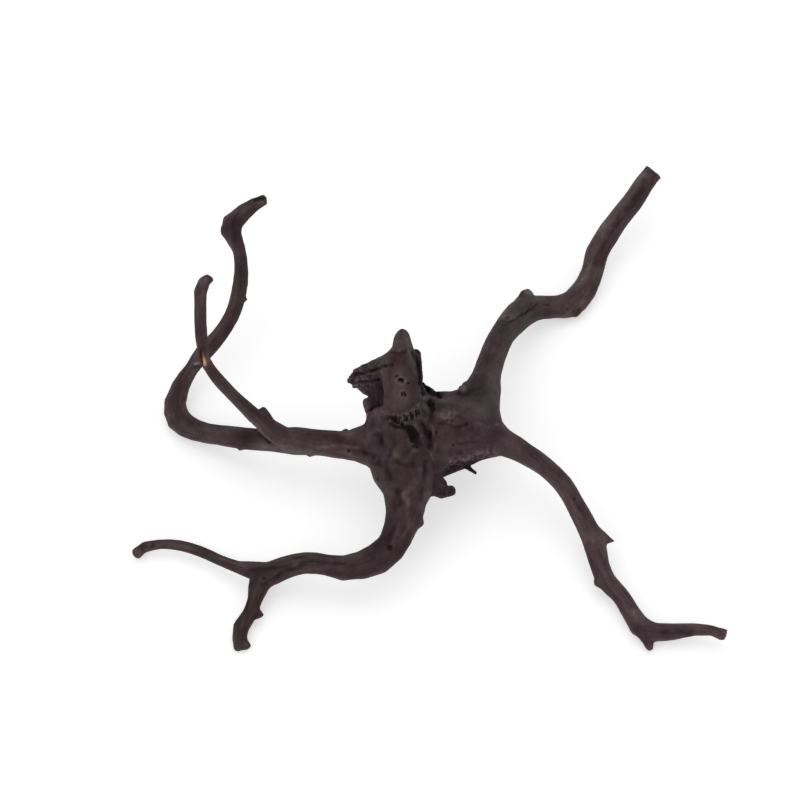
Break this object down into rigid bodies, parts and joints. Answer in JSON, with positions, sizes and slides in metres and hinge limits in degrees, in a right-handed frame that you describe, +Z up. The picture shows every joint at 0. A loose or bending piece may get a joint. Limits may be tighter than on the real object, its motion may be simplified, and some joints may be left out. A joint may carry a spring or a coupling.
{
  "type": "spiderwood root",
  "caption": "Weathered root crown with a torn hollow stump and twisting roots that arch down to the surface, for an aquarium, terrarium or display.",
  "frame": {"origin": "middle of the bounding box, on the surface that the root lies on", "axes": "+Z up; +X to the right and +Y away from the viewer of the picture"},
  "size_m": [0.4046, 0.3916, 0.1235],
  "materials": {
    "root_wood": "bare, weathered and matt"
  },
  "bodies": {
    "root": {"spiderwood_root": "root_wood"}
  },
  "joints": []
}
